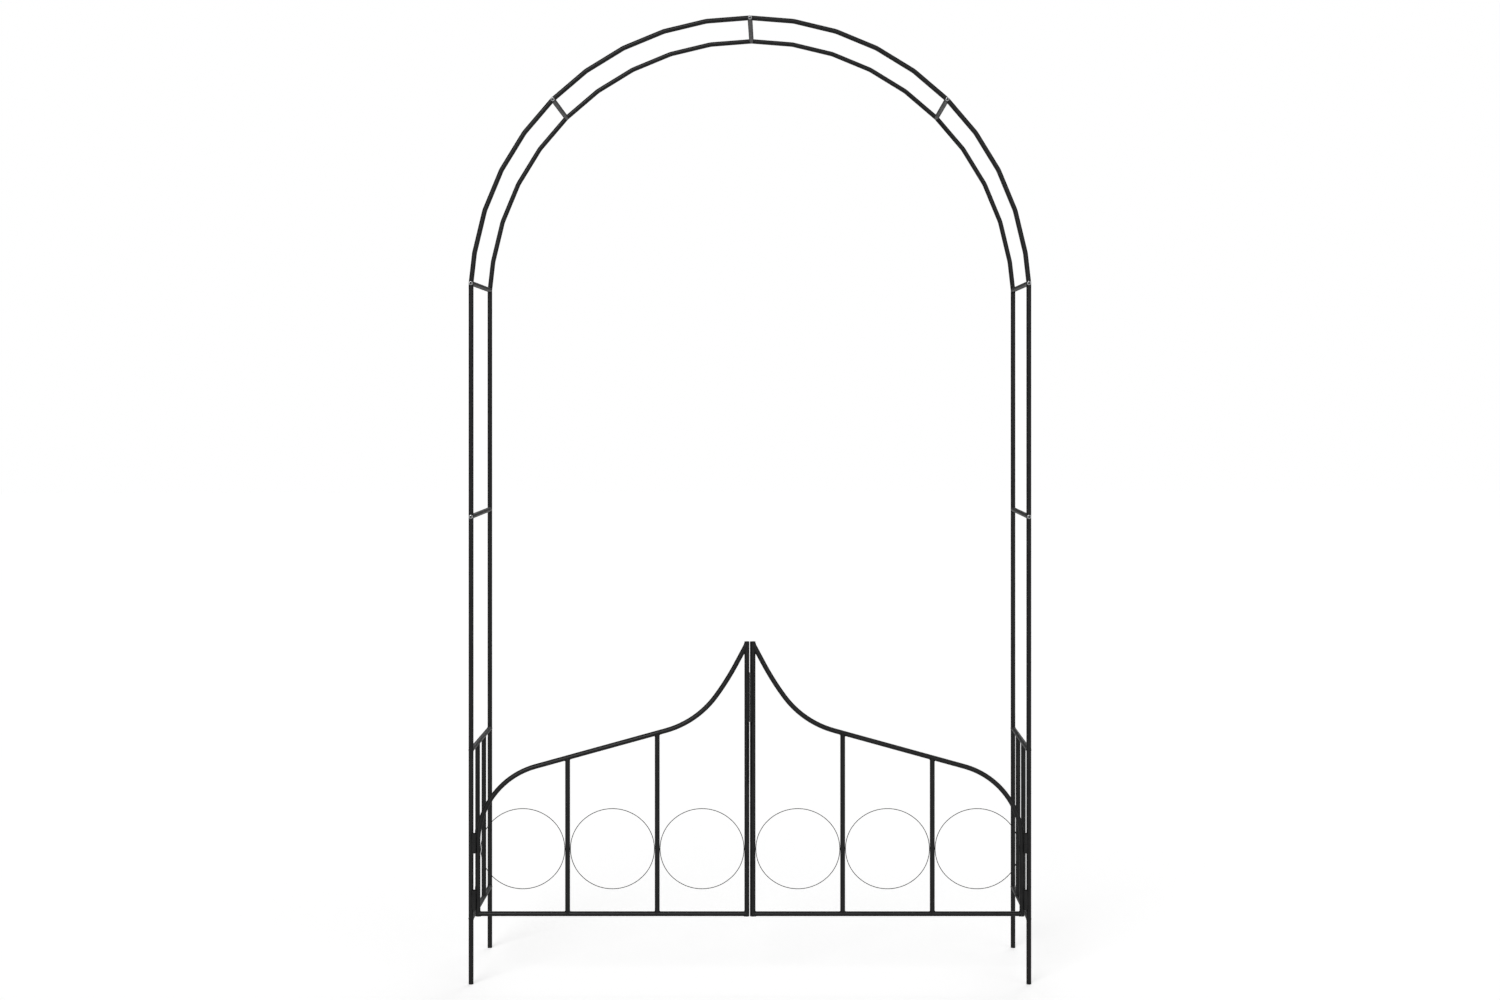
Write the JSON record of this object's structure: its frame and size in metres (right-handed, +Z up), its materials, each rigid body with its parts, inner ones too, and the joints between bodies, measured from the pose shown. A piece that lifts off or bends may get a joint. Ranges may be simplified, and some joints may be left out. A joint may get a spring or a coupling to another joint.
{
  "type": "garden arch with gate",
  "caption": "Free-standing metal garden arch for climbing plants, with ladder rungs, side trellis panels and a low double gate on lift-off hinges.",
  "frame": {"origin": "on the ground, midway between the four posts", "axes": "+Z up, +Y through the arch away from the gate side, +X to the right of a visitor facing the gate"},
  "size_m": [1.38, 0.4134, 2.376],
  "materials": {
    "powder_coat": "satin black powder coat",
    "zinc_plated_steel": "zinc plated, satin"
  },
  "bodies": {
    "frame": {"crown_rung": "powder_coat", "front_bolts": "zinc_plated_steel", "front_joint_sleeves": "zinc_plated_steel", "front_left_crown_tube": "powder_coat", "front_left_haunch_tube": "powder_coat", "front_left_lower_post": "powder_coat", "front_left_upper_post": "powder_coat", "front_right_crown_tube": "powder_coat", "front_right_haunch_tube": "powder_coat", "front_right_lower_post": "powder_coat", "front_right_upper_post": "powder_coat", "left_haunch_rung": "powder_coat", "left_post_hinge_pins": "powder_coat", "left_post_rung": "powder_coat", "left_side_bar_1": "powder_coat", "left_side_bar_2": "powder_coat", "left_side_bottom_rail": "powder_coat", "left_side_top_rail": "powder_coat", "left_spring_rung": "powder_coat", "rear_bolts": "zinc_plated_steel", "rear_joint_sleeves": "zinc_plated_steel", "rear_left_crown_tube": "powder_coat", "rear_left_haunch_tube": "powder_coat", "rear_left_lower_post": "powder_coat", "rear_left_upper_post": "powder_coat", "rear_right_crown_tube": "powder_coat", "rear_right_haunch_tube": "powder_coat", "rear_right_lower_post": "powder_coat", "rear_right_upper_post": "powder_coat", "right_haunch_rung": "powder_coat", "right_post_hinge_pins": "powder_coat", "right_post_rung": "powder_coat", "right_side_bar_1": "powder_coat", "right_side_bar_2": "powder_coat", "right_side_bottom_rail": "powder_coat", "right_side_top_rail": "powder_coat", "right_spring_rung": "powder_coat", "rung_plugs": "zinc_plated_steel"},
    "left_leaf": {"chain_eye": "powder_coat", "left_latch_bar": "powder_coat", "left_leaf_bar_1": "powder_coat", "left_leaf_bar_2": "powder_coat", "left_leaf_bottom_rail": "powder_coat", "left_leaf_hinge_barrels": "powder_coat", "left_leaf_meeting_stile": "powder_coat", "left_leaf_ring_1": "powder_coat", "left_leaf_ring_2": "powder_coat", "left_leaf_ring_3": "powder_coat", "left_leaf_top_rail": "powder_coat"},
    "right_leaf": {"gate_stop_strip": "powder_coat", "right_latch_bar": "powder_coat", "right_leaf_bar_1": "powder_coat", "right_leaf_bar_2": "powder_coat", "right_leaf_bottom_rail": "powder_coat", "right_leaf_hinge_barrels": "powder_coat", "right_leaf_meeting_stile": "powder_coat", "right_leaf_ring_1": "powder_coat", "right_leaf_ring_2": "powder_coat", "right_leaf_ring_3": "powder_coat", "right_leaf_top_rail": "powder_coat"},
    "closing_chain": {"closing_chain": "powder_coat"}
  },
  "joints": [
    {"name": "left_gate_hinge", "type": "hinge", "parent": "frame", "child": "left_leaf", "pos_m": [-0.6755, -0.2016, 0.2775], "axis": [0, 0, -1], "range_deg": [-30, 170]},
    {"name": "right_gate_hinge", "type": "hinge", "parent": "frame", "child": "right_leaf", "pos_m": [0.6755, -0.2016, 0.2775], "axis": [0, 0, 1], "range_deg": [-30, 170]},
    {"name": "chain_swing", "type": "hinge", "parent": "left_leaf", "child": "closing_chain", "pos_m": [-0.00485, -0.2038, 0.63575], "axis": [-0.7071, 0.7071, 0], "range_deg": [0, 80]}
  ]
}
